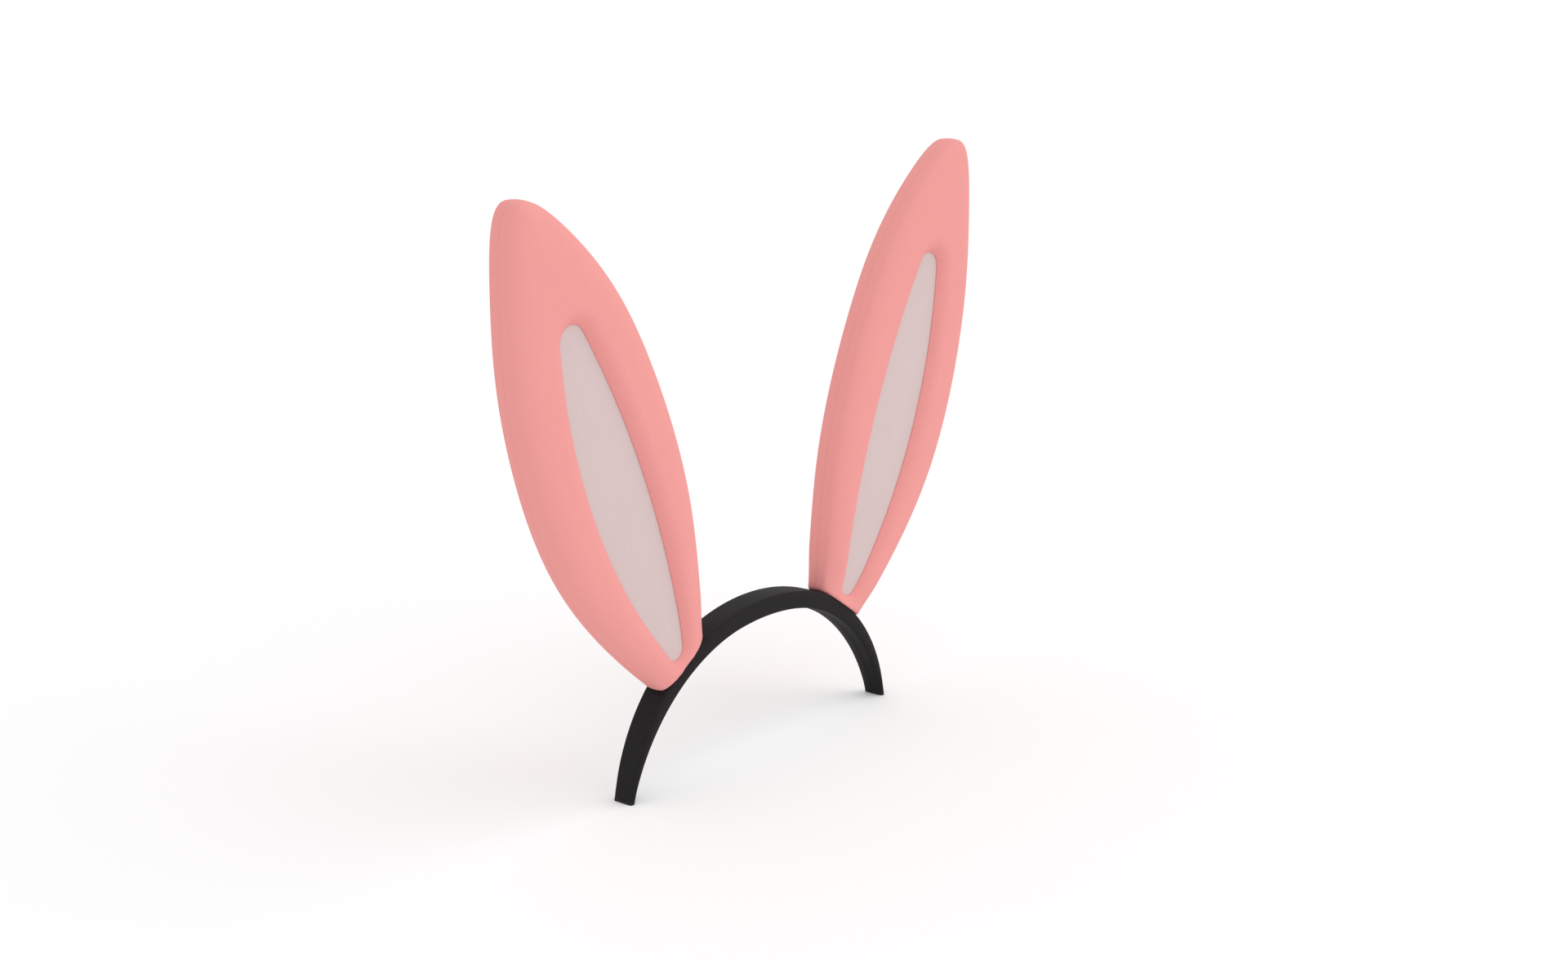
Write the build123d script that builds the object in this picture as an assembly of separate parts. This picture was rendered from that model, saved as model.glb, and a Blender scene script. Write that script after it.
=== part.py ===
"""Animal ears headband: a sprung, fabric-covered arch with two padded ears on bendable wires.

Millimetres. X runs across the head, Y from front (-) to back (+), Z up. The origin is on the
surface that the two leg tips stand on, half way between them and at the middle of the depth.
"""

from build123d import *
from math import atan2, cos, degrees, radians, sin, tan
import os

os.makedirs("parts", exist_ok=True)

# Arch of the headband. Its outside, its middle and its inside are each three tangent arcs.
SPAN = 150.0                # outside width across the leg tips
ARCH_HEIGHT = 58.7          # leg tips to the top of the crown
CROWN_THICKNESS = 7.0
TIP_THICKNESS = 2.4
CROWN_DEPTH = 12.0          # front to back, at the crown
TIP_DEPTH = 8.6             # front to back, at the leg tips
OUTER_CROWN = (94.0, 17.2)  # radius of the crown arc, and the angle where it meets the side arc
INNER_CROWN = (104.2, 8.2)
EDGE_ROUND = 1.0

# Layers of the headband
SLEEVE = 0.5                # fabric sleeve
CORE_THICKNESS = 1.2        # spring strip
CORE_SIDE_MARGIN = 1.5      # from the outside of the band to the strip's edge
FOOT_HEIGHT = 1.0           # moulded end piece that closes the sleeve
PADDING_END = 6.0           # the foam stops this far above the leg tips
SPRING_GAP = 0.3            # clearance between the crown and each leg
SPRING_HALF_WIDTH = 17.0    # from the middle of the crown to where a leg starts to spring

# Ears. Outline of the right ear in the XZ plane, as a closed smooth curve. The first and the
# last point are below the root, inside the arch, where the ear is cut away.
EAR_OUTLINE = [
    (34.4, 42.0), (35.0, 52.7), (41.1, 101.1), (61.8, 158.4), (99.2, 206.3), (121.1, 216.9),
    (127.2, 191.6), (123.4, 142.8), (107.7, 96.4), (51.2, 32.5), (41.5, 27.0),
]
OUTLINE_STEPS = 24          # points that carry the outline from one level of the ear to the next
EAR_HALF_THICKNESS = 7.9
EAR_FLAT_HALF = 3.2         # half the height of the flat side wall
EAR_ROUND = 8.0             # how far the rounded shoulder reaches in from the outline
COVER = 0.8                 # fabric and backing of the ear cover

# Window of the right ear: two arcs between a bottom and a top corner, which are rounded.
WINDOW_BOTTOM = (44.4, 39.5)
WINDOW_TOP = (105.8, 189.3)
WINDOW_INNER_SIDE = (66.0, 118.1)
WINDOW_OUTER_SIDE = (91.2, 107.8)
WINDOW_TOP_ROUND = 6.0
WINDOW_BOTTOM_ROUND = 4.0
RECESS_FLOOR = 4.5          # the inner panel's face is this far in front of the ear's middle
PANEL = 0.8
RIM_RELIEF_WIDTH = 5.5      # foam is cut back this far from the window
RIM_RELIEF_FLOOR = 5.4      # down to this far in front of the ear's middle

# Root of the ear, on the outside of the arch
ROOT_ANGLE = 34.5           # around the side arc, from straight up
HINGE_LIFT = 1.2            # the wire bends this far above the sleeve
COVER_RELIEF = 36.5         # slope of the covers' cut edge at the root, a little past the bend
FOAM_RELIEF = 50.0          # slope of the foam's, which leaves room for the creased cover
FOLD_GAP = 0.3              # between the ear's root and the axis it bends about
WIRE_RADIUS = 0.6
WIRE_LEG_OFFSET = 6.0       # each leg of the wire is this far from the root's middle
WIRE_INSET = 9.0            # from the ear's outline to the wire
WIRE_LEG_STRAIGHT = 10.0    # the moving wire's legs run straight this far from the bend
WIRE_BEND_GAP = 1.0         # the wire's two sides of the bend end this far from its axis
ARC_SHARE = 0.45            # of the shorter run, that a bend in the wire takes up
WIRE_HOOK = 8.0             # length of each hooked end along the strip
BINDING = 0.25              # tape around the strip and the hooked ends

REACH = 300.0               # larger than the object, for cutting


def arch_arcs(height, half_span, crown, offset=0.0):
    """Centres and radii of an arch's crown arc and side arc, moved inwards by an offset."""
    crown_radius, crown_angle = crown
    lean = Vector(sin(radians(crown_angle)), cos(radians(crown_angle)), 0)
    crown_centre = Vector(0, height - crown_radius, 0)
    foot = Vector(half_span, 0, 0) - crown_centre
    shift = (foot.dot(foot) - crown_radius**2) / (2 * (foot.dot(lean) - crown_radius))
    side_centre = crown_centre + lean * shift
    return crown_centre, crown_radius - offset, side_centre, crown_radius - shift - offset, crown_angle


def arch_edges(arcs):
    """The arch's five arcs, from the right leg over the crown to the left leg."""
    crown_centre, crown_radius, side_centre, side_radius, angle = arcs
    mirrored = Vector(-side_centre.X, side_centre.Y, 0)
    return [
        CenterArc(side_centre, side_radius, 0, 90 - angle),
        CenterArc(crown_centre, crown_radius, 90 - angle, 2 * angle),
        CenterArc(mirrored, side_radius, 90 + angle, 90 - angle),
    ]


OUTER = (ARCH_HEIGHT, SPAN / 2, OUTER_CROWN)
INNER = (ARCH_HEIGHT - CROWN_THICKNESS, SPAN / 2 - TIP_THICKNESS, INNER_CROWN)
MIDDLE = tuple((a + b) / 2 for a, b in zip(OUTER[:2], INNER[:2])) + (
    tuple((a + b) / 2 for a, b in zip(OUTER_CROWN, INNER_CROWN)),
)


def half_depth(z):
    """Half the depth of the band at a height."""
    return (TIP_DEPTH + (CROWN_DEPTH - TIP_DEPTH) * z / ARCH_HEIGHT) / 2


def arch_solid(outside, inside, side_inset, bottom):
    """Solid between two arches, tapering in depth, that starts at a height above the tips."""
    outer_edges, inner_edges = arch_edges(outside), arch_edges(inside)
    closing = [
        Line(outer_edges[0] @ 0, inner_edges[0] @ 0),
        Line(outer_edges[2] @ 1, inner_edges[2] @ 1),
    ]
    profile = Plane.XZ * make_face(outer_edges + inner_edges + closing)
    low, high = half_depth(bottom) - side_inset, half_depth(ARCH_HEIGHT) - side_inset
    taper = Polygon(
        (-low, bottom), (low, bottom), (high, ARCH_HEIGHT), (high, REACH),
        (-high, REACH), (-high, ARCH_HEIGHT), align=None,
    )
    return extrude(profile, REACH / 2, both=True) & extrude(Plane.YZ * taper, REACH / 2, both=True)


def radial_frame(arcs, angle, on_crown):
    """Plane at an angle around an arch: X along the arch, Y to the back, Z outwards."""
    crown_centre, crown_radius, side_centre, side_radius, _ = arcs
    centre, radius = (crown_centre, crown_radius) if on_crown else (side_centre, side_radius)
    out = Vector(sin(radians(angle)), 0, cos(radians(angle)))
    origin = Vector(centre.X, 0, centre.Y) + out * radius
    return Plane(origin, x_dir=Vector(out.Z, 0, -out.X), z_dir=out)


def block(frame, x, y, z):
    """Box in a frame, given by its lowest and highest value on each axis."""
    size = [high - low for low, high in (x, y, z)]
    middle = [(high + low) / 2 for low, high in (x, y, z)]
    return frame * (Pos(*middle) * Box(*size))


def mirrored(shape):
    """The same piece on the other side of the head."""
    if len(shape.solids()) > 1:
        return Compound(children=[mirror(solid, about=Plane.YZ) for solid in shape.solids()])
    return mirror(shape, about=Plane.YZ)


outer_arcs = arch_arcs(*OUTER)
spring_angle = degrees(atan2(SPRING_HALF_WIDTH, (OUTER_CROWN[0] ** 2 - SPRING_HALF_WIDTH**2) ** 0.5))
spring_frame = radial_frame(outer_arcs, spring_angle, on_crown=True)
root_frame = radial_frame(outer_arcs, ROOT_ANGLE, on_crown=False)
hinge_frame = Plane(
    root_frame.origin + root_frame.z_dir * HINGE_LIFT, x_dir=root_frame.x_dir, z_dir=root_frame.z_dir
)


def crown_part(shape):
    """What is left of an arch between the places where the legs start to spring."""
    beyond = block(spring_frame, (0, REACH), (-REACH, REACH), (-REACH, REACH))
    return shape - beyond - mirrored(beyond)


def right_leg_part(shape):
    """What is left of an arch in the right leg."""
    return shape & block(spring_frame, (SPRING_GAP, REACH), (-REACH, REACH), (-REACH, REACH))


def band_outside():
    """The whole outside of the band, with its long edges rounded."""
    solid = arch_solid(outer_arcs, arch_arcs(*INNER), 0, 0)
    long_edges = solid.edges().filter_by(lambda e: e.bounding_box().size.X > TIP_THICKNESS * 1.5)
    return fillet(long_edges, EDGE_ROUND)


def sleeve_inside():
    return arch_solid(arch_arcs(*OUTER, SLEEVE), arch_arcs(*INNER, -SLEEVE), SLEEVE, FOOT_HEIGHT)


def core_strip(margin=0.0, bottom=FOOT_HEIGHT):
    """The spring strip, or a solid that is larger than it by a margin."""
    reach = CORE_THICKNESS / 2 + margin
    return arch_solid(
        arch_arcs(*MIDDLE, -reach), arch_arcs(*MIDDLE, reach), CORE_SIDE_MARGIN - margin, bottom
    )


def wire_hooks():
    """Fixed ends of an ear's wire: each stands up through the sleeve and is hooked along the strip."""
    centre, radius = arch_arcs(*MIDDLE, -CORE_THICKNESS / 2 - WIRE_RADIUS)[2:4]
    root_angle = degrees(atan2(root_frame.origin.X - centre.X, root_frame.origin.Z - centre.Y))
    section = Circle(WIRE_RADIUS)
    hooks = []
    for side in (-1, 1):
        start = root_angle + side * degrees(WIRE_LEG_OFFSET / radius)
        turn = side * degrees(WIRE_HOOK / radius)
        lie = Plane.XZ * CenterArc(centre, radius, 90 - start, -turn)
        corner = lie @ 0
        top = hinge_frame.from_local_coords(Vector(side * WIRE_LEG_OFFSET, 0, -WIRE_BEND_GAP))
        stand = Line(corner, top)
        rod = sweep(Plane(corner, z_dir=stand % 0) * section, stand)
        hook = sweep(Plane(corner, z_dir=lie % 0) * section, lie)
        hooks.append(rod + hook + Pos(*corner) * Sphere(WIRE_RADIUS))
    return hooks


def binding_block(strip, hooks):
    """Tape wound round the strip and the hooked ends of the wire."""
    reach = WIRE_LEG_OFFSET + WIRE_HOOK
    inner = arch_arcs(*MIDDLE, CORE_THICKNESS / 2 + BINDING)
    outer = arch_arcs(*MIDDLE, -CORE_THICKNESS / 2 - 2 * WIRE_RADIUS - BINDING)
    wrap = arch_solid(outer, inner, CORE_SIDE_MARGIN - BINDING, FOOT_HEIGHT)
    wrap &= block(root_frame, (-reach, reach), (-REACH, REACH), (-REACH / 2, REACH / 2))
    return wrap - strip - hooks


def ear_face(inset):
    """Outline of the right ear, which runs clockwise, moved inwards by an inset."""
    curve = Spline(*EAR_OUTLINE, periodic=True)
    points = []
    for step in range(OUTLINE_STEPS):
        point, heading = curve @ (step / OUTLINE_STEPS), curve % (step / OUTLINE_STEPS)
        points.append((point.X + heading.Y * inset, point.Y - heading.X * inset))
    return make_face(Spline(*points, periodic=True))


def window_face(grow):
    """Outline of the ear's window, moved outwards by an amount."""
    face = make_face([
        ThreePointArc(WINDOW_BOTTOM, WINDOW_INNER_SIDE, WINDOW_TOP),
        ThreePointArc(WINDOW_BOTTOM, WINDOW_OUTER_SIDE, WINDOW_TOP),
    ])
    face = fillet(face.vertices().sort_by(Axis.Y)[0], WINDOW_BOTTOM_ROUND)
    face = fillet(face.vertices().sort_by(Axis.Y)[-1], WINDOW_TOP_ROUND)
    return offset(face, grow) if grow else face


def pillow(skin):
    """Padded ear without a skin of some thickness: flat faces, and shoulders that round off."""
    shoulder = EAR_HALF_THICKNESS - EAR_FLAT_HALF
    levels = []
    for share in (0, 0.64, 0.89, 1):
        y = EAR_FLAT_HALF + (shoulder - skin) * share
        inset = skin + (EAR_ROUND - skin) * (1 - (1 - share**2) ** 0.5)
        levels.append((y, inset))
    levels = [(-y, inset) for y, inset in reversed(levels)] + levels
    return loft([Pos(0, y, 0) * (Plane.XZ * ear_face(inset)) for y, inset in levels], ruled=True)


def window_prism(grow, front, back):
    """Solid with the window's outline between two depths in front of the ear's middle."""
    return Pos(0, -back, 0) * extrude(Plane.XZ * window_face(grow), front - back)


def fold_clearance(slope):
    """Space under the ear that its root turns through as the ear bends."""
    reach = 2 * EAR_HALF_THICKNESS
    edge = FOLD_GAP + reach * tan(radians(slope))
    section = Polygon(
        (0, FOLD_GAP), (reach, edge), (reach, -REACH), (-reach, -REACH), (-reach, edge), align=None
    )
    across = Plane(hinge_frame.origin, x_dir=hinge_frame.y_dir, z_dir=hinge_frame.x_dir)
    return extrude(across * section, REACH / 2, both=True)


def ear_wire():
    """The part of the wire that bends with the ear: up from the root and round inside the outline."""
    points = []
    for before, here, after in zip(EAR_OUTLINE[1:], EAR_OUTLINE[2:], EAR_OUTLINE[3:-1]):
        along = Vector(after[0] - before[0], 0, after[1] - before[1]).normalized()
        inwards = Vector(along.Z, 0, -along.X)
        points.append(Vector(here[0], 0, here[1]) + inwards * WIRE_INSET)
    for side, place in ((-1, 0), (1, len(points) + 2)):
        for height in (WIRE_LEG_STRAIGHT, WIRE_BEND_GAP):
            leg = hinge_frame.from_local_coords(Vector(side * WIRE_LEG_OFFSET, 0, height))
            points.insert(place, leg)
            place += side > 0
    radii = []
    for before, here, after in zip(points, points[1:], points[2:]):
        turn = radians((here - before).get_angle(after - here))
        run = min((here - before).length, (after - here).length)
        radii.append(ARC_SHARE * run / tan(turn / 2))
    path = FilletPolyline(*points, radius=radii)
    return sweep(Plane(path @ 0, z_dir=path % 0) * Circle(WIRE_RADIUS), path)


def band_parts():
    """Nodes of the crown and of the right leg."""
    outside, inside = band_outside(), sleeve_inside()
    strip = core_strip()
    padding = arch_solid(
        arch_arcs(*OUTER, SLEEVE), arch_arcs(*INNER, -SLEEVE), SLEEVE, PADDING_END
    ) - strip
    above_feet = Pos(0, 0, FOOT_HEIGHT + REACH / 2) * Box(REACH, REACH, REACH)
    sleeve = (outside & above_feet) - inside
    hooks = wire_hooks()
    binding = binding_block(strip, hooks)
    crown = {
        "crown_sleeve": crown_part(sleeve),
        "crown_padding": crown_part(padding),
        "crown_core": crown_part(strip),
    }
    leg = {
        "leg_sleeve": right_leg_part(sleeve) - hooks,
        "leg_padding": right_leg_part(padding) - hooks - binding,
        "leg_core": right_leg_part(strip),
        "foot": right_leg_part(outside - above_feet),
        "wire_root": Compound(children=hooks),
        "wire_binding": binding,
    }
    return crown, leg


def ear_parts():
    """Nodes of the right ear."""
    clearance = fold_clearance(COVER_RELIEF)
    outside, foam_outside = pillow(0) - clearance, pillow(COVER) - clearance
    shell = outside - foam_outside
    front = Pos(0, -REACH / 2, 0) * Box(REACH * 2, REACH, REACH * 2)
    panel_back = RECESS_FLOOR - PANEL
    window = window_prism(0, REACH, RECESS_FLOOR)
    rim = window_prism(COVER, EAR_HALF_THICKNESS, RECESS_FLOOR) - window
    wire = ear_wire()
    relief = window_prism(COVER, REACH, panel_back)
    relief += window_prism(RIM_RELIEF_WIDTH, REACH, RIM_RELIEF_FLOOR)
    filling = foam_outside - fold_clearance(FOAM_RELIEF) - relief - wire
    return {
        "ear_front_cover": ((shell & front) - window) + (rim & outside),
        "ear_back_cover": shell - front,
        "ear_inner_panel": window_prism(COVER, RECESS_FLOOR, panel_back) - clearance,
        "ear_filling": filling,
        "ear_wire": wire,
    }


def main():
    crown, leg = band_parts()
    nodes = dict(crown)
    for name, shape in {**leg, **ear_parts()}.items():
        nodes[f"right_{name}"] = shape
        nodes[f"left_{name}"] = mirrored(shape)
    for name, shape in nodes.items():
        export_step(shape, f"parts/{name}.step")
        print(f"{name}: {shape.volume:.1f} mm3, {len(shape.solids())} solids")
    print(f"spring axis at {spring_frame.origin}")
    print(f"ear hinge at {hinge_frame.origin} along {hinge_frame.x_dir}")


main()
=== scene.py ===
from math import atan2, cos, degrees, radians, sin

import bmesh
import bpy
import numpy as np
from mathutils import Euler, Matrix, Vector


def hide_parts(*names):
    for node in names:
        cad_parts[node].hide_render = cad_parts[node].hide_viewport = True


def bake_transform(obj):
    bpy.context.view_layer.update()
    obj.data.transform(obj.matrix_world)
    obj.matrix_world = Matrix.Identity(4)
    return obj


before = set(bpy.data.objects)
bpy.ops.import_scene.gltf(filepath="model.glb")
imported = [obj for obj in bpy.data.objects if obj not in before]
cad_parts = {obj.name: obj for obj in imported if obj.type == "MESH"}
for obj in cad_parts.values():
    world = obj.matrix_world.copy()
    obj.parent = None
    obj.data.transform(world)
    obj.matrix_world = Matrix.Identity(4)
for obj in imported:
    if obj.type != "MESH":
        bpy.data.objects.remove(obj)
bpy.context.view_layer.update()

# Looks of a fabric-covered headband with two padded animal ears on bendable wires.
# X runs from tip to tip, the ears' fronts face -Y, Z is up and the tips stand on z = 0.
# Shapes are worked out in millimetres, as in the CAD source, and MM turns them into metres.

MM = 0.001
SHARP_ANGLE = 60            # faces that meet more sharply than this are shaded apart

# Arch, with the same driving values as the CAD source
SPAN = 150.0
ARCH_HEIGHT = 58.7
CROWN_THICKNESS = 7.0
TIP_THICKNESS = 2.4
CROWN_DEPTH = 12.0
TIP_DEPTH = 8.6
OUTER_CROWN = (94.0, 17.2)  # radius of the crown's arc, and where it meets the side arc
INNER_CROWN = (104.2, 8.2)
FOOT_HEIGHT = 1.0           # the fabric starts above the moulded foot
SIDE_ARC_POINTS = 300
CROWN_ARC_POINTS = 100

# Ear seen from the front, the right one, as (x, z)
EAR_OUTLINE = [
    (34.4, 42.0), (35.0, 52.7), (41.1, 101.1), (61.8, 158.4), (99.2, 206.3), (121.1, 216.9),
    (127.2, 191.6), (123.4, 142.8), (107.7, 96.4), (51.2, 32.5), (41.5, 27.0),
]
WINDOW_BOTTOM = (44.4, 39.5)
WINDOW_TOP = (105.8, 189.3)
WINDOW_INNER_SIDE = (66.0, 118.1)
WINDOW_OUTER_SIDE = (91.2, 107.8)
WINDOW_TOP_ROUND = 6.0
WINDOW_BOTTOM_ROUND = 4.0
CORNER_IN = 0.1             # the search for a rounding's centre starts this share of the way in
CORNER_ROUNDS = 30

# Ear's depth: flat side wall, rounded shoulder, flat face, and a rolled rim round the window
HALF_THICKNESS = 7.9
FLAT_HALF = 3.2
SHOULDER = 10.6             # the shoulder rounds over this far from the outline
SHOULDER_SHARE = 0.66       # or over this share of the way in, where the ear is narrow
RIM_WIDTH = 6.5
RIM_DROP = 3.0
RIM_POWER = 2.3             # the rim falls gently at first and more steeply at the window
WALL_PUFF = 0.3
BACK_CROWN = 0.9
SEAM_HALF_WIDTH = 0.55
SEAM_DEPTH = 0.2
COVER = 0.8                 # thickness of the fabric with its fleece

# Panel behind the window
RECESS_FLOOR = 4.5          # panel's face, in front of the ear's middle
PANEL = 0.8
PANEL_GAP = 0.15            # between the panel and the pocket that it lies in
PANEL_TUCK = 0.35           # the panel's edge runs this far under the rim
PANEL_INSET = 0.3           # its face starts this far inside the window
PANEL_BEVEL = 0.1           # and its edge is this much lower
PANEL_PUFF = 0.3
PANEL_PUFF_WIDTH = 16.0     # the puff rises over this far from the window's edge

# Smoothing of the line where the shoulders meet near the tip
TIP_REACH = 42.0            # this far from the tip
TIP_START = 4.0             # nothing moves nearer to the outline than this
TIP_EASE = 3.0              # and the smoothing is full this much further in
TIP_ROUNDS = 40
TIP_STEP = 0.5

# Rings and rows of the ear's mesh
HALF = 190                  # samples along each side of a closed outline
PATH_POINTS = 80
WALL_STEPS = (0.15, 0.35, 0.55, 0.9, 1.5, 2.3, FLAT_HALF)  # away from the seam
SHOULDER_RINGS = 12
FRONT_RINGS = 7             # between the shoulder and the rim
BACK_RINGS = 2
RIM_TURNS = (12, 24, 36, 48, 58, 67, 75, 82, 90)  # degrees, 90 at the window's edge
POCKET_SHARES = (0.3, 0.6, 0.85, 1)  # of the way down from that edge to the pocket's floor
POCKET_COLUMNS = 10
BACK_COLUMNS = 26
PANEL_COLUMNS = 24
PANEL_BACK_COLUMNS = 6

# Cloth of the ear's back, simulated larger than life because the solver suits large faces
CLOTH_SCALE = 10
CLOTH_MASS = 0.02
CLOTH_PRESSURE = 10.0
CLOTH_STIFFNESS = 2.0
CLOTH_QUALITY = 5
CLOTH_FRAMES = 16
CLOTH_START = 2.0           # cloth this near to the outline is held still
CLOTH_EASE = 8.0            # and it is free this much further in
CLOTH_CAP = 2.5             # a point's movement is eased so that it stays under this

# Root of the ear, in a frame that stands on the arch
ROOT_ANGLE = 34.5
SEAT = 0.1                  # the ear's outside turns under at this height over the arch
SEAT_ROUND = 0.7
SEAT_SPAN = 2.0             # length of the outside that goes into the turn
SEAT_DISH = 0.3             # what lies past the turn slopes down by this much
PINCH = 0.16                # share by which the ear is thinner at the arch
PINCH_HEIGHT = 15.0

# Sleeve of the arch
SLEEVE = 0.5                # thickness of the fabric
SLEEVE_STEPS = 150
SLEEVE_ROUND = 1.3
SLEEVE_ROUND_SHARE = 0.9    # or this share of half the thickness, where the sleeve is thin
SLEEVE_PUFF = 0.12
LAP = 0.22                  # the sleeve's glued overlap stands up this much on the inside face
LAP_EDGE = 0.25             # half the width of the step up to it
LAP_FADE = 0.25             # it fades out over this share of half the sleeve's depth
CORNER_POINTS = 7
FACE_POINTS = 26
SIDE_POINTS = 10

# Colours, as linear light
PINK = (0.82, 0.326, 0.309)
PALE = (0.635, 0.515, 0.508)
BLACK = (0.0142, 0.0128, 0.0132)
FOAM = (0.80, 0.77, 0.66)
STRIP_STEEL = (0.42, 0.43, 0.45)
WIRE_STEEL = (0.60, 0.60, 0.61)
TAPE = (0.05, 0.048, 0.045)
RUBBER = (0.014, 0.0135, 0.0135)

# Studio and camera, in metres and degrees
FLOOR = 40.0                # half the floor's width
FLOOR_SHADE = 0.93
SKY_STRENGTH = 0.94
KEY_FROM = (0.50, -0.56, 0.66)
KEY_STRENGTH = 0.72
KEY_SOFTNESS = 60           # how wide the light looks
CAMERA_PLACE = (-0.6296, -0.5212, 0.3117)
CAMERA_YAW = 51.08          # from straight ahead, +Y, towards +X
CAMERA_PITCH = 14.40        # downwards
CAMERA_LENS = 52.91         # millimetres, as is the sensor's width
SENSOR_WIDTH = 36


def turned(angle):
    """Unit vector at an angle from straight up, towards +X."""
    return np.array([sin(radians(angle)), cos(radians(angle))])


def arch_curve(height, half_span, crown, floor):
    """Dense points along half an arch, from the floor's height up to the crown.

    Also gives the side arc's centre and radius. crown is the crown arc's radius, and the
    angle from straight up where the side arc takes over.
    """
    radius, angle = crown
    lean = turned(angle)
    crown_centre = np.array([0.0, height - radius])
    foot = np.array([half_span, 0.0]) - crown_centre
    shift = (foot @ foot - radius**2) / (2 * (foot @ lean - radius))
    side_centre = crown_centre + lean * shift
    side_radius = radius - shift
    low = degrees(atan2(*(np.array([half_span, 0.0]) - side_centre)))
    side_angles = np.linspace(low, angle, SIDE_ARC_POINTS)
    side = [side_centre + side_radius * turned(a) for a in side_angles]
    crown_angles = np.linspace(angle, 0, CROWN_ARC_POINTS)[1:]
    top = [crown_centre + radius * turned(a) for a in crown_angles]
    points = np.array(side + top)
    return points[points[:, 1] >= floor], side_centre, side_radius


def along(points, fractions):
    """Points at fractions of the length of an open line."""
    length = np.concatenate([[0], np.cumsum(np.linalg.norm(np.diff(points, axis=0), axis=1))])
    wanted = np.asarray(fractions) * length[-1]
    return np.stack([np.interp(wanted, length, points[:, k]) for k in (0, 1)], axis=1)


def closed_spline(points, per_span=90):
    """Dense points along the smooth closed curve through the given ones."""
    p = np.array(points, float)
    ahead = np.roll(p, -1, 0)
    h = np.linalg.norm(ahead - p, axis=1)
    slope = (ahead - p) / h[:, None]
    count = len(p)
    system = np.zeros((count, count))
    right = np.zeros((count, 2))
    for i in range(count):
        before, after = h[i - 1], h[i]
        system[i, i - 1] = 1 / before
        system[i, i] = 2 / before + 2 / after
        system[i, (i + 1) % count] = 1 / after
        right[i] = 3 * (slope[i - 1] / before + slope[i] / after)
    tangent = np.linalg.solve(system, right)
    s = np.linspace(0, 1, per_span, endpoint=False)[:, None]
    spans = []
    for i in range(count):
        j = (i + 1) % count
        spans.append(
            (2 * s**3 - 3 * s**2 + 1) * p[i] + (s**3 - 2 * s**2 + s) * h[i] * tangent[i]
            + (3 * s**2 - 2 * s**3) * p[j] + (s**3 - s**2) * h[i] * tangent[j]
        )
    return np.concatenate(spans)


def circle_through(a, b, c):
    """Centre and radius of the circle through three points."""
    a, b, c = (np.array(q, float) for q in (a, b, c))
    system = 2 * np.array([b - a, c - a])
    centre = np.linalg.solve(system, [b @ b - a @ a, c @ c - a @ a])
    return centre, np.linalg.norm(a - centre)


def arc(centre, radius, start, end, count=240):
    """Points on a circle, the short way round from the direction of start to that of end."""
    first = atan2(*(start - centre)[::-1])
    turn = (atan2(*(end - centre)[::-1]) - first + np.pi) % (2 * np.pi) - np.pi
    angles = first + turn * np.linspace(0, 1, count)
    return centre + radius * np.stack([np.cos(angles), np.sin(angles)], axis=1)


def window_curve(grow):
    """Dense closed outline of the window, moved outwards: two arcs with rounded ends."""
    sides = [
        circle_through(WINDOW_BOTTOM, WINDOW_INNER_SIDE, WINDOW_TOP),
        circle_through(WINDOW_BOTTOM, WINDOW_OUTER_SIDE, WINDOW_TOP),
    ]
    ends = []
    middle = (np.array(WINDOW_BOTTOM) + np.array(WINDOW_TOP)) / 2
    for corner, rounding in ((WINDOW_BOTTOM, WINDOW_BOTTOM_ROUND), (WINDOW_TOP, WINDOW_TOP_ROUND)):
        # centre of the rounding: inside both sides' circles by its own radius
        centre = middle * CORNER_IN + np.array(corner) * (1 - CORNER_IN)
        for _ in range(CORNER_ROUNDS):
            gap = [np.linalg.norm(centre - c) - (r - rounding) for c, r in sides]
            way = np.array([(centre - c) / np.linalg.norm(centre - c) for c, _r in sides])
            centre = centre - np.linalg.solve(way, gap)
        touch = [c + (centre - c) / np.linalg.norm(centre - c) * r for c, r in sides]
        ends.append((centre, rounding, touch))
    (low, low_round, low_touch), (top, top_round, top_touch) = ends
    inner, outer = sides
    return np.concatenate([
        arc(inner[0], inner[1] + grow, low_touch[0], top_touch[0])[:-1],
        arc(top, top_round + grow, top_touch[0], top_touch[1])[:-1],
        arc(outer[0], outer[1] + grow, top_touch[1], low_touch[1])[:-1],
        arc(low, low_round + grow, low_touch[1], low_touch[0])[:-1],
    ])


EAR_AXIS = np.array(WINDOW_TOP) - np.array(WINDOW_BOTTOM)
EAR_AXIS /= np.linalg.norm(EAR_AXIS)


def ring(curve):
    """Even samples of a closed outline: bottom end, inner side, top end, outer side."""
    reach = curve @ EAR_AXIS
    start = int(reach.argmin())
    curve = np.roll(curve, -start, 0)
    tip = int((curve @ EAR_AXIS).argmax())
    inner_side = curve[:tip + 1]
    outer_side = np.concatenate([curve[tip:], curve[:1]])
    steps = np.linspace(0, 1, HALF, endpoint=False)
    return np.concatenate([along(inner_side, steps), along(outer_side, steps)])


def outward(points):
    """Unit normals of a closed clockwise ring, pointing out of it."""
    way = np.roll(points, -1, 0) - np.roll(points, 1, 0)
    way /= np.linalg.norm(way, axis=1)[:, None]
    return np.stack([-way[:, 1], way[:, 0]], axis=1)


BLOCK = 500                 # points measured at once, which bounds the memory taken


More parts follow.
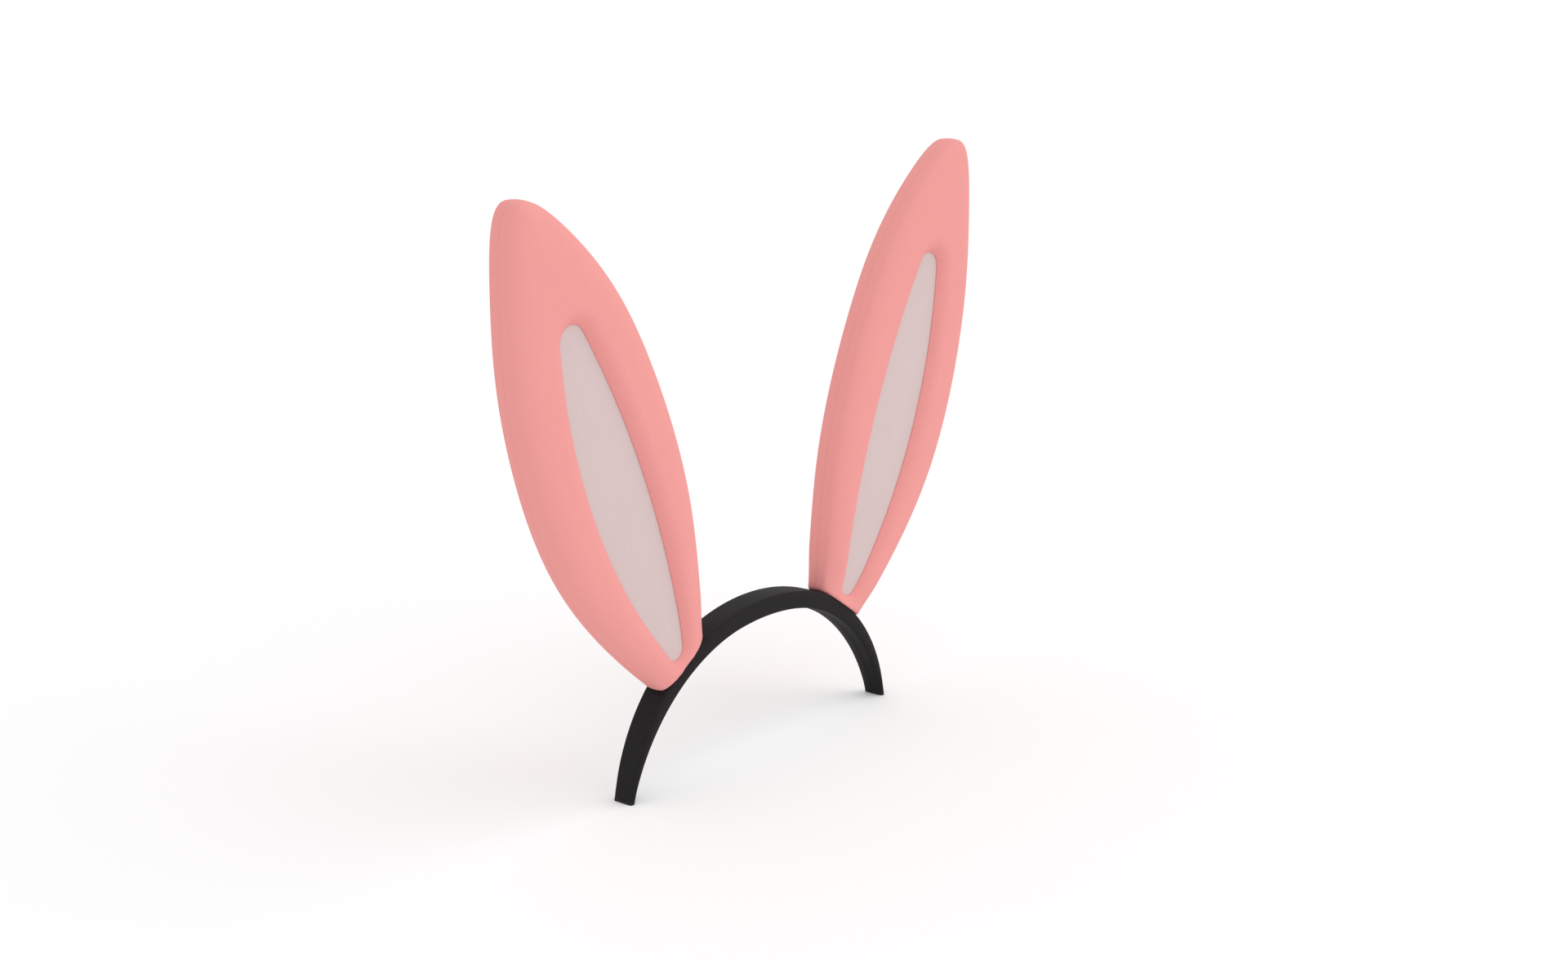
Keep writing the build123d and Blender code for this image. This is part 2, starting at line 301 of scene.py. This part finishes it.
def distance(points, curve):
    """Distance of each point from a closed outline."""
    flat = points.reshape(-1, 2)
    start, step = curve, np.roll(curve, -1, 0) - curve
    square = (step**2).sum(1)
    found = []
    for block in np.array_split(flat, max(1, len(flat) // BLOCK)):
        reach = block[:, None] - start
        share = np.clip((reach * step).sum(2) / square, 0, 1)
        found.append(np.sqrt(((reach - share[..., None] * step) ** 2).sum(2).min(1)))
    return np.concatenate(found).reshape(points.shape[:-1])


def drop(d, width, depth):
    """How far a rounded edge falls at distance d from its end."""
    share = np.clip((width - d) / width, 0, 1)
    return depth * (1 - np.sqrt(1 - share**2))


def ease(x):
    """Smooth step from 0 to 1."""
    x = np.clip(x, 0, 1)
    return x * x * (3 - 2 * x)


# What the ear is built on and measured from
outline_ring = ring(closed_spline(EAR_OUTLINE))
outline_out = outward(outline_ring)
window_ring = ring(window_curve(0))

outer_arch, root_centre, root_radius = arch_curve(ARCH_HEIGHT, SPAN / 2, OUTER_CROWN, FOOT_HEIGHT)
inner_arch = arch_curve(
    ARCH_HEIGHT - CROWN_THICKNESS, SPAN / 2 - TIP_THICKNESS, INNER_CROWN, FOOT_HEIGHT
)[0]
ROOT_OUT = turned(ROOT_ANGLE)
ROOT_ALONG = np.array([ROOT_OUT[1], -ROOT_OUT[0]])
ROOT = root_centre + root_radius * ROOT_OUT


def pinched(points):
    """Points of an ear, (x, y, z), drawn together towards its root."""
    height = (points[:, (0, 2)] - ROOT) @ ROOT_OUT
    points = points.copy()
    points[:, 1] *= 1 - PINCH * (1 - ease(height / PINCH_HEIGHT))
    return points


def seated(points):
    """The ear's outside, (x, y, z), with what lies under the seat turned in below the ear."""
    flat = points[:, (0, 2)] - ROOT
    height, side = flat @ ROOT_OUT, flat @ ROOT_ALONG
    depth = np.maximum(SEAT - height, 0)
    turn = np.minimum(depth / SEAT_SPAN, 1) * np.pi / 2
    rest = np.clip((depth - SEAT_SPAN) / (depth.max() - SEAT_SPAN), 0, 1)
    low = SEAT - SEAT_ROUND * np.sin(turn) - SEAT_DISH * rest
    narrow = (1 - SEAT_ROUND * (1 - np.cos(turn)) / HALF_THICKNESS) * (1 - rest)
    height = np.where(depth > 0, low, height)
    moved = ROOT + np.outer(height, ROOT_OUT) + np.outer(side, ROOT_ALONG)
    y = points[:, 1] * np.where(depth > 0, narrow, 1)
    return np.stack([moved[:, 0], y, moved[:, 1]], axis=1)


class Skin:
    """A mesh under construction: points as (x, y, z) in millimetres, and faces."""

    def __init__(self):
        self.points, self.faces, self.count = [], [], 0

    def add(self, points):
        index = np.arange(self.count, self.count + len(points))
        self.points.append(points)
        self.count += len(points)
        return index

    def join(self, a, b):
        """Quads between two closed rings of point indices."""
        for i in range(len(a)):
            j = (i + 1) % len(a)
            self.faces.append((a[i], a[j], b[j], b[i]))

    def fill(self, edge, flat, height, columns):
        """Rows of quads across a ring, from one side to the other; height gives y at (x, z)."""
        half = len(edge) // 2
        rows = []
        for j in range(1, half):
            across = np.linspace(flat[j], flat[-j], columns + 1)[1:-1]
            y = height(across)
            inside = self.add(np.stack([across[:, 0], y, across[:, 1]], axis=1))
            rows.append([edge[j], *inside, edge[-j]])
        for a, b in zip(rows, rows[1:]):
            for k in range(columns):
                self.faces.append((a[k], b[k], b[k + 1], a[k + 1]))
        for end, row in ((edge[0], rows[0]), (edge[half], rows[-1])):
            for k in range(columns):
                self.faces.append((end, row[k], row[k + 1]))

    def all_points(self):
        return np.concatenate(self.points)


def make_piece(name, points, faces, mirror=False):
    """Blender mesh from points in millimetres; mirror makes the left-hand one."""
    points = np.array(points) * MM
    if mirror:
        points[:, 0] *= -1
    mesh = bpy.data.meshes.new(name)
    mesh.from_pydata(points.tolist(), [], [tuple(int(i) for i in f) for f in faces])
    shape = bmesh.new()
    shape.from_mesh(mesh)
    bmesh.ops.recalc_face_normals(shape, faces=shape.faces)
    for face in shape.faces:
        face.smooth = True
    for edge in shape.edges:
        edge.smooth = edge.calc_face_angle(0) < radians(SHARP_ANGLE)
    shape.to_mesh(mesh)
    shape.free()
    obj = bpy.data.objects.new(name, mesh)
    bpy.context.scene.collection.objects.link(obj)
    return obj


def swollen(points, faces, free):
    """The points after their filling has pushed the free ones out against the cloth."""
    trial = make_piece("cloth_trial", points * CLOTH_SCALE, faces)
    pinned = trial.vertex_groups.new(name="pinned")
    for share in np.unique(free):
        pinned.add(np.flatnonzero(free == share).tolist(), float(1 - share), "REPLACE")
    cloth = trial.modifiers.new("cloth", "CLOTH")
    cloth.settings.quality = CLOTH_QUALITY
    cloth.settings.mass = CLOTH_MASS
    cloth.settings.bending_stiffness = CLOTH_STIFFNESS
    cloth.settings.vertex_group_mass = "pinned"
    cloth.settings.use_pressure = True
    cloth.settings.uniform_pressure_force = CLOTH_PRESSURE
    cloth.settings.effector_weights.gravity = 0
    cloth.point_cache.frame_end = CLOTH_FRAMES
    for step in range(1, CLOTH_FRAMES + 1):
        bpy.context.scene.frame_set(step)
    shaped = trial.evaluated_get(bpy.context.evaluated_depsgraph_get()).data
    found = np.zeros(len(shaped.vertices) * 3)
    shaped.vertices.foreach_get("co", found)
    shift = found.reshape(-1, 3) / MM / CLOTH_SCALE - points
    length = np.linalg.norm(shift, axis=1)[:, None]
    bpy.data.objects.remove(trial)
    bpy.context.scene.frame_set(1)
    return points + shift * CLOTH_CAP / (CLOTH_CAP + length)


def lining(name, outside, inset):
    """The foam inside a piece: the same skin, moved inwards."""
    mesh = outside.data.copy()
    mesh.name = name
    mesh.materials.clear()
    for vertex, normal in zip(mesh.vertices, [v.normal.copy() for v in outside.data.vertices]):
        vertex.co -= normal * inset * MM
    obj = bpy.data.objects.new(name, mesh)
    bpy.context.scene.collection.objects.link(obj)
    return obj


# ---------------------------------------------------------------- ear

def face_height(flat):
    """How far the ear's front stands forward at (x, z)."""
    return (
        HALF_THICKNESS
        - drop(distance(flat, outline_ring), SHOULDER, HALF_THICKNESS - FLAT_HALF)
        - RIM_DROP * np.clip(1 - distance(flat, window_ring) / RIM_WIDTH, 0, 1) ** RIM_POWER
    )


def back_height(flat):
    """How far the ear's back stands backwards at (x, z)."""
    inside = distance(flat, outline_ring)
    return (
        HALF_THICKNESS
        - drop(inside, SHOULDER, HALF_THICKNESS - FLAT_HALF)
        + BACK_CROWN * ease((inside - SHOULDER / 2) / (2 * SHOULDER))
    )


def cover_paths(target):
    """Straight paths from the outline to a ring inside it."""
    share = np.linspace(0, 1, PATH_POINTS)[:, None, None]
    return outline_ring * (1 - share) + target * share


def shoulder_rings(paths, count, flats):
    """Rings of (x, z) along the paths: close together over the shoulder, then even."""
    inside = distance(paths, outline_ring)
    inside = np.maximum.accumulate(inside, axis=0)
    shares = np.linspace(0, 1, len(paths))
    turns = 1 - np.cos(np.linspace(0, np.pi / 2, count + 1)[1:])
    rings = []
    for i in range(paths.shape[1]):
        width = min(SHOULDER, inside[-1, i] * SHOULDER_SHARE)
        at = np.interp(turns * width, inside[:, i], shares)
        at = np.concatenate([at, np.linspace(at[-1], 1, flats + 1)[1:]])
        rings.append(np.stack([np.interp(at, shares, paths[:, i, k]) for k in (0, 1)], axis=1))
    return np.array(rings).transpose(1, 0, 2)


def ear_cover():
    """The whole outside of an ear: side walls with a seam, front with its window, back."""
    skin = Skin()

    def place(flat, y):
        y = np.broadcast_to(y, len(flat))
        return skin.add(np.stack([flat[:, 0], y, flat[:, 1]], axis=1))

    def wall(y):
        swell = WALL_PUFF * cos(y / FLAT_HALF * np.pi / 2)
        groove = SEAM_DEPTH * max(0.0, 1 - abs(y) / SEAM_HALF_WIDTH) ** 0.5
        return place(outline_ring + outline_out * (swell - groove), y)

    seam = wall(0.0)

    # front, towards -Y
    last = seam
    for y in WALL_STEPS:
        index = wall(-y)
        skin.join(last, index)
        last = index
    paths = cover_paths(ring(window_curve(RIM_WIDTH)))
    for flat in shoulder_rings(paths, SHOULDER_RINGS, FRONT_RINGS):
        index = place(flat, -face_height(flat))
        skin.join(last, index)
        last = index
    for turn in np.radians(RIM_TURNS):
        flat = ring(window_curve(RIM_WIDTH * (1 - sin(turn))))
        index = place(flat, -face_height(flat))
        skin.join(last, index)
        last = index
    lip = face_height(window_ring)
    pocket = RECESS_FLOOR - PANEL - PANEL_GAP
    for share in POCKET_SHARES:
        index = place(window_ring, -(lip + (pocket - lip) * share))
        skin.join(last, index)
        last = index
    skin.fill(last, window_ring, lambda flat: np.full(len(flat), -pocket), POCKET_COLUMNS)

    # back, towards +Y
    last = seam
    for y in WALL_STEPS:
        index = wall(y)
        skin.join(last, index)
        last = index
    flats = shoulder_rings(paths, SHOULDER_RINGS, BACK_RINGS)
    for flat in flats:
        index = place(flat, back_height(flat))
        skin.join(last, index)
        last = index
    skin.fill(last, flats[-1], back_height, BACK_COLUMNS)
    points = skin.all_points()
    points[:, 1] = eased_tip(points, skin.faces)
    inside = distance(points[:, (0, 2)], outline_ring)
    free = ease((inside - CLOTH_START) / CLOTH_EASE) * (points[:, 1] > 0)
    free = np.round(free, 2)    # one weight is written for all points that share it
    points = swollen(points, skin.faces, free)
    return seated(pinched(points)), skin.faces


def eased_tip(points, faces):
    """The y of each point, with the shoulders' meeting line near the tip smoothed away."""
    edges = np.array([(f[k], f[(k + 1) % len(f)]) for f in faces for k in range(len(f))])
    flat = points[:, (0, 2)]
    tip = outline_ring[HALF]
    near = 1 - ease(np.linalg.norm(flat - tip, axis=1) / TIP_REACH)
    share = near * ease((distance(flat, outline_ring) - TIP_START) / TIP_EASE)
    degree = np.bincount(edges[:, 0], minlength=len(points))
    y = points[:, 1].copy()
    for _ in range(TIP_ROUNDS):
        around = np.bincount(edges[:, 0], y[edges[:, 1]], minlength=len(points))
        y += share * TIP_STEP * (around / np.maximum(degree, 1) - y)
    return y


def inner_panel():
    """The pale panel behind the window, slightly puffed."""
    skin = Skin()
    edge = ring(window_curve(PANEL_TUCK))
    inset = ring(window_curve(-PANEL_INSET))
    back = RECESS_FLOOR - PANEL

    def front_height(flat):
        inside = distance(flat, window_ring)
        return -(RECESS_FLOOR + PANEL_PUFF * ease(inside / PANEL_PUFF_WIDTH))

    def level(flat, y):
        y = np.broadcast_to(y, len(flat))
        return skin.add(np.stack([flat[:, 0], y, flat[:, 1]], axis=1))

    low, side = level(inset, -back), level(edge, -back)
    high = level(edge, PANEL_BEVEL - RECESS_FLOOR)
    top = level(inset, -RECESS_FLOOR)
    skin.join(low, side)
    skin.join(side, high)
    skin.join(high, top)
    skin.fill(top, inset, front_height, PANEL_COLUMNS)
    skin.fill(low, inset, lambda flat: np.full(len(flat), -back), PANEL_BACK_COLUMNS)
    return pinched(skin.all_points()), skin.faces


# ---------------------------------------------------------------- sleeve of the arch

def half_depth(z):
    """Half of the arch's front-to-back depth at a height."""
    return (TIP_DEPTH + (CROWN_DEPTH - TIP_DEPTH) * z / ARCH_HEIGHT) / 2


def section(half_height, depth):
    """Closed ring (radial, y) of a rounded rectangle: a little puffed, with a lap inside."""
    rounding = min(SLEEVE_ROUND, half_height * SLEEVE_ROUND_SHARE)
    flat_height, flat_depth = half_height - rounding, depth - rounding
    turns = np.radians(np.linspace(90, 0, CORNER_POINTS))
    across = np.linspace(1, -1, FACE_POINTS)[1:-1]
    along_side = np.linspace(1, -1, SIDE_POINTS)[1:-1]
    spots = []

    def corner(up, back, start):
        for turn in turns + start:
            radial = up * flat_height + rounding * cos(turn)
            spots.append((radial, back * flat_depth + rounding * sin(turn)))

    corner(1, 1, 0)
    for share in across:
        spots.append((half_height + SLEEVE_PUFF * cos(share * np.pi / 2), share * flat_depth))
    corner(1, -1, -np.pi / 2)
    for share in along_side:
        spots.append((share * flat_height, -depth - SLEEVE_PUFF * cos(share * np.pi / 2)))
    corner(-1, -1, -np.pi)
    for share in -across:
        puff = SLEEVE_PUFF * cos(share * np.pi / 2)
        y = share * flat_depth
        lap = LAP * ease((y + LAP_EDGE) / (2 * LAP_EDGE)) * ease((1 - share) / LAP_FADE)
        spots.append((-half_height - puff - lap, y))
    corner(-1, 1, np.pi / 2)
    for share in -along_side:
        spots.append((share * flat_height, depth + SLEEVE_PUFF * cos(share * np.pi / 2)))
    return np.array(spots)


def half_sleeve():
    """Fabric tube over the right half of the arch, from the foot to the middle."""
    skin = Skin()
    steps = np.linspace(0, 1, SLEEVE_STEPS)
    outer, inner = along(outer_arch, steps), along(inner_arch, steps)
    outer[-1, 0] = inner[-1, 0] = 0.0
    rings = []
    for out, under in zip(outer, inner):
        middle, half = (out + under) / 2, np.linalg.norm(out - under) / 2
        radial = (out - under) / (2 * half)
        shape = section(half, half_depth(middle[1]))
        flat = middle + np.outer(shape[:, 0], radial)
        rings.append(skin.add(np.stack([flat[:, 0], shape[:, 1], flat[:, 1]], axis=1)))
    for a, b in zip(rings, rings[1:]):
        skin.join(a, b)
    for end in (rings[0], rings[-1]):
        skin.faces.append(tuple(end))
    return skin.all_points(), skin.faces


# ---------------------------------------------------------------- materials

def new_material(name, roughness, specular, sheen=0.0, sheen_roughness=0.5, metallic=0.0):
    """A material, with its node tree, shader and a socket for points on the object."""
    made = bpy.data.materials.new(name)
    made.use_nodes = True
    tree = made.node_tree
    shader = tree.nodes["Principled BSDF"]
    shader.inputs["Roughness"].default_value = roughness
    shader.inputs["Specular IOR Level"].default_value = specular
    shader.inputs["Sheen Weight"].default_value = sheen
    shader.inputs["Sheen Roughness"].default_value = sheen_roughness
    shader.inputs["Metallic"].default_value = metallic
    where = tree.nodes.new("ShaderNodeTexCoord").outputs["Object"]
    return made, tree, shader, where


def noise(tree, where, scale, detail=2.0, stretch=None):
    """Noise that has scale grains to the metre."""
    node = tree.nodes.new("ShaderNodeTexNoise")
    node.inputs["Scale"].default_value = scale
    node.inputs["Detail"].default_value = detail
    if stretch:
        place = tree.nodes.new("ShaderNodeMapping")
        place.inputs["Scale"].default_value = stretch
        tree.links.new(where, place.inputs["Vector"])
        where = place.outputs["Vector"]
    tree.links.new(where, node.inputs["Vector"])
    return node.outputs["Fac"]


def ramp(tree, value, stops):
    """Colours along a value, as (position, colour) stops."""
    node = tree.nodes.new("ShaderNodeValToRGB")
    elements = node.color_ramp.elements
    while len(elements) < len(stops):
        elements.new(0.5)
    for element, (position, colour) in zip(elements, stops):
        element.position = position
        element.color = (*colour, 1)
    tree.links.new(value, node.inputs["Fac"])
    return node.outputs["Color"]


def blend_colours(tree, a, b, share):
    """Two colours mixed."""
    node = tree.nodes.new("ShaderNodeMix")
    node.data_type = "RGBA"
    node.inputs["Factor"].default_value = share
    tree.links.new(a, node.inputs["A"])
    tree.links.new(b, node.inputs["B"])
    return node.outputs["Result"]


def bump(tree, height, depth, strength, under=None):
    """Surface relief from a height, in metres deep."""
    node = tree.nodes.new("ShaderNodeBump")
    node.inputs["Strength"].default_value = strength
    node.inputs["Distance"].default_value = depth
    tree.links.new(height, node.inputs["Height"])
    if under:
        tree.links.new(under, node.inputs["Normal"])
    return node.outputs["Normal"]


def bands(tree, where, pitch, axis, distortion=0.0):
    """Parallel threads, one each pitch metres along the axis X, Y or Z."""
    node = tree.nodes.new("ShaderNodeTexWave")
    node.bands_direction = axis
    node.inputs["Scale"].default_value = np.pi / 10 / pitch
    node.inputs["Distortion"].default_value = distortion
    node.inputs["Detail"].default_value = 1.0
    tree.links.new(where, node.inputs["Vector"])
    return node.outputs["Fac"]


def tinted(colour, factor):
    """A colour made lighter or darker."""
    return tuple(min(1.0, c * factor) for c in colour)


def brushed_knit(name, colour):
    """Soft brushed knit: short nap, faint mottling, a little sheen."""
    made, tree, shader, where = new_material(
        name, roughness=0.95, specular=0.06, sheen=0.025, sheen_roughness=0.6
    )
    patches = noise(tree, where, scale=45, detail=3)
    broad = ramp(tree, patches, [(0.3, tinted(colour, 0.975)), (0.7, colour)])
    hairs = noise(tree, where, scale=1300, detail=3)
    nap = ramp(tree, hairs, [(0.3, tinted(colour, 0.955)), (0.7, tinted(colour, 1.02))])
    tree.links.new(blend_colours(tree, broad, nap, share=0.5), shader.inputs["Base Color"])
    pile = bump(tree, noise(tree, where, scale=2200, detail=4), depth=0.0001, strength=0.3)
    rows = bands(tree, where, pitch=0.0006, axis="Z", distortion=0.6)
    knit = bump(tree, rows, depth=0.00004, strength=0.3, under=pile)
    tree.links.new(knit, shader.inputs["Normal"])
    return made


def satin(name, colour):
    """Fine satin weave with a soft lustre."""
    made, tree, shader, where = new_material(name, roughness=0.72, specular=0.22, sheen=0.05)
    grain = noise(tree, where, scale=900, detail=3, stretch=(1.0, 1.0, 0.18))
    fine = ramp(tree, grain, [(0.3, tinted(colour, 0.965)), (0.7, tinted(colour, 1.015))])
    patches = noise(tree, where, scale=60, detail=2)
    broad = ramp(tree, patches, [(0.3, tinted(colour, 0.98)), (0.7, colour)])
    tree.links.new(blend_colours(tree, fine, broad, share=0.5), shader.inputs["Base Color"])
    threads = bands(tree, where, pitch=0.0004, axis="X", distortion=0.3)
    warp = bump(tree, threads, depth=0.00003, strength=0.4)
    weave = bump(tree, grain, depth=0.00005, strength=0.4, under=warp)
    tree.links.new(weave, shader.inputs["Normal"])
    return made


def black_weave(name, colour):
    """Tight black satin weave."""
    made, tree, shader, where = new_material(name, roughness=0.6, specular=0.09)
    grain = noise(tree, where, scale=1500, detail=2)
    fine = ramp(tree, grain, [(0.25, tinted(colour, 0.7)), (0.75, tinted(colour, 1.35))])
    patches = noise(tree, where, scale=70, detail=3)
    worn = ramp(tree, patches, [(0.35, colour), (0.75, tinted(colour, 1.3))])
    tree.links.new(blend_colours(tree, fine, worn, share=0.5), shader.inputs["Base Color"])
    threads = bands(tree, where, pitch=0.00045, axis="X", distortion=0.2)
    warp = bump(tree, threads, depth=0.00003, strength=0.5)
    crossing = bands(tree, where, pitch=0.00045, axis="Y", distortion=0.2)
    weft = bump(tree, crossing, depth=0.00003, strength=0.5, under=warp)
    weave = bump(tree, grain, depth=0.00003, strength=0.4, under=weft)
    tree.links.new(weave, shader.inputs["Normal"])
    return made


def moulded_rubber(name, colour):
    """Matt black moulded rubber with a fine spark-eroded grain."""
    made, tree, shader, where = new_material(name, roughness=0.7, specular=0.3)
    grain = noise(tree, where, scale=1800, detail=3)
    shade = ramp(tree, grain, [(0.3, tinted(colour, 0.8)), (0.7, tinted(colour, 1.2))])
    tree.links.new(shade, shader.inputs["Base Color"])
    tree.links.new(bump(tree, grain, depth=0.00004, strength=0.5), shader.inputs["Normal"])
    return made


def open_foam(name, colour):
    """Open-celled foam."""
    made, tree, shader, where = new_material(name, roughness=0.95, specular=0.1)
    cells = tree.nodes.new("ShaderNodeTexVoronoi")
    cells.inputs["Scale"].default_value = 1400
    tree.links.new(where, cells.inputs["Vector"])
    cell = cells.outputs["Distance"]
    shade = ramp(tree, cell, [(0.1, tinted(colour, 0.7)), (0.6, colour)])
    tree.links.new(shade, shader.inputs["Base Color"])
    tree.links.new(bump(tree, cell, depth=0.0002, strength=0.7), shader.inputs["Normal"])
    return made


def drawn_steel(name, colour, roughness, grain_stretch):
    """Steel with the fine lines of its drawing or rolling."""
    made, tree, shader, where = new_material(name, roughness, specular=0.5, metallic=1.0)
    lines = noise(tree, where, scale=900, detail=3, stretch=grain_stretch)
    shade = ramp(tree, lines, [(0.3, tinted(colour, 0.8)), (0.7, colour)])
    tree.links.new(shade, shader.inputs["Base Color"])
    tree.links.new(bump(tree, lines, depth=0.00002, strength=0.4), shader.inputs["Normal"])
    return made


def cloth_tape(name, colour):
    """Cloth tape wound round, with a coarse weave and smears of glue."""
    made, tree, shader, where = new_material(name, roughness=0.6, specular=0.4)
    glue = noise(tree, where, scale=260, detail=3)
    shade = ramp(tree, glue, [(0.35, tinted(colour, 0.6)), (0.7, colour)])
    tree.links.new(shade, shader.inputs["Base Color"])
    threads = bands(tree, where, pitch=0.0005, axis="X")
    warp = bump(tree, threads, depth=0.00008, strength=0.6)
    crossing = bands(tree, where, pitch=0.0005, axis="Z")
    weft = bump(tree, crossing, depth=0.00008, strength=0.6, under=warp)
    smears = bump(tree, glue, depth=0.0001, strength=0.4, under=weft)
    tree.links.new(smears, shader.inputs["Normal"])
    return made


pink_fabric = brushed_knit("pink_fabric", PINK)
pale_satin = satin("pale_satin", PALE)
black_fabric = black_weave("black_fabric", BLACK)

# A CAD node's finish, by the last word of its name
finishes = {
    "cover": pink_fabric,
    "panel": pale_satin,
    "sleeve": black_fabric,
    "filling": open_foam("foam", FOAM),
    "core": drawn_steel("spring_strip", STRIP_STEEL, roughness=0.35, grain_stretch=(0.1, 1, 1)),
    "wire": drawn_steel("steel_wire", WIRE_STEEL, roughness=0.3, grain_stretch=(1, 1, 0.1)),
    "binding": cloth_tape("tape", TAPE),
    "foot": moulded_rubber("black_rubber", RUBBER),
}
finishes["padding"] = finishes["filling"]
finishes["root"] = finishes["wire"]

for node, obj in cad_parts.items():
    obj.data.materials.clear()
    obj.data.materials.append(finishes[node.split("_")[-1]])


# ---------------------------------------------------------------- pieces

def dressed(obj, material, slot, fill, *nodes):
    """Gives a padded piece its finish, and hides the CAD nodes it stands for."""
    obj.data.materials.append(material)
    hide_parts(*nodes)


cover_points, cover_faces = ear_cover()
panel_points, panel_faces = inner_panel()
sleeve_points, sleeve_faces = half_sleeve()

for side, sign in (("right", 1), ("left", -1)):
    left = sign < 0
    leg, ear = f"{side}_leg", f"{side}_ear"

    cover = make_piece(f"{ear}_cover", cover_points, cover_faces, left)
    filling = lining(f"{ear}_foam", cover, COVER)
    panel = make_piece(f"{ear}_panel", panel_points, panel_faces, left)
    dressed(cover, pink_fabric, "pink_fabric", 0.9, f"{ear}_front_cover", f"{ear}_back_cover")
    dressed(filling, finishes["filling"], "foam", 0.9, f"{ear}_filling")
    dressed(panel, pale_satin, "pale_satin", 0.4, f"{ear}_inner_panel")
    for piece in (cover, filling, panel):
        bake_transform(piece)

    sleeve = make_piece(f"{side}_sleeve", sleeve_points, sleeve_faces, left)
    padding = lining(f"{side}_sleeve_foam", sleeve, SLEEVE)
    dressed(sleeve, black_fabric, "black_fabric", 0.8, f"{leg}_sleeve", "crown_sleeve")
    dressed(padding, finishes["padding"], "foam", 0.8, f"{leg}_padding", "crown_padding")
    for piece in (sleeve, padding):
        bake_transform(piece)


# ---------------------------------------------------------------- floor, light, camera

floor_mesh = bpy.data.meshes.new("floor")
floor_mesh.from_pydata(
    [(-FLOOR, -FLOOR, 0), (FLOOR, -FLOOR, 0), (FLOOR, FLOOR, 0), (-FLOOR, FLOOR, 0)],
    [], [(0, 1, 2, 3)],
)
floor = bpy.data.objects.new("floor", floor_mesh)
bpy.context.scene.collection.objects.link(floor)
floor_material, _, floor_shader, _ = new_material("floor", roughness=0.9, specular=0.1)
floor_shader.inputs["Base Color"].default_value = (FLOOR_SHADE, FLOOR_SHADE, FLOOR_SHADE, 1)
floor_mesh.materials.append(floor_material)

world = bpy.data.worlds.new("studio")
bpy.context.scene.world = world
world.use_nodes = True
background = world.node_tree.nodes["Background"]
background.inputs["Color"].default_value = (1, 1, 1, 1)
background.inputs["Strength"].default_value = SKY_STRENGTH

# even light from one direction, as from a large softbox far away
key_data = bpy.data.lights.new("key", "SUN")
key_data.energy = KEY_STRENGTH
key_data.angle = radians(KEY_SOFTNESS)
key = bpy.data.objects.new("key", key_data)
key.rotation_euler = Vector(KEY_FROM).to_track_quat("Z", "Y").to_euler()
bpy.context.scene.collection.objects.link(key)

camera_data = bpy.data.cameras.new("camera")
camera_data.sensor_width = SENSOR_WIDTH
camera_data.lens = CAMERA_LENS
camera = bpy.data.objects.new("camera", camera_data)
camera.location = CAMERA_PLACE
camera.rotation_euler = Euler((radians(90 - CAMERA_PITCH), 0, radians(-CAMERA_YAW)))
bpy.context.scene.collection.objects.link(camera)
bpy.context.scene.camera = camera
bpy.context.scene.view_settings.view_transform = "Standard"
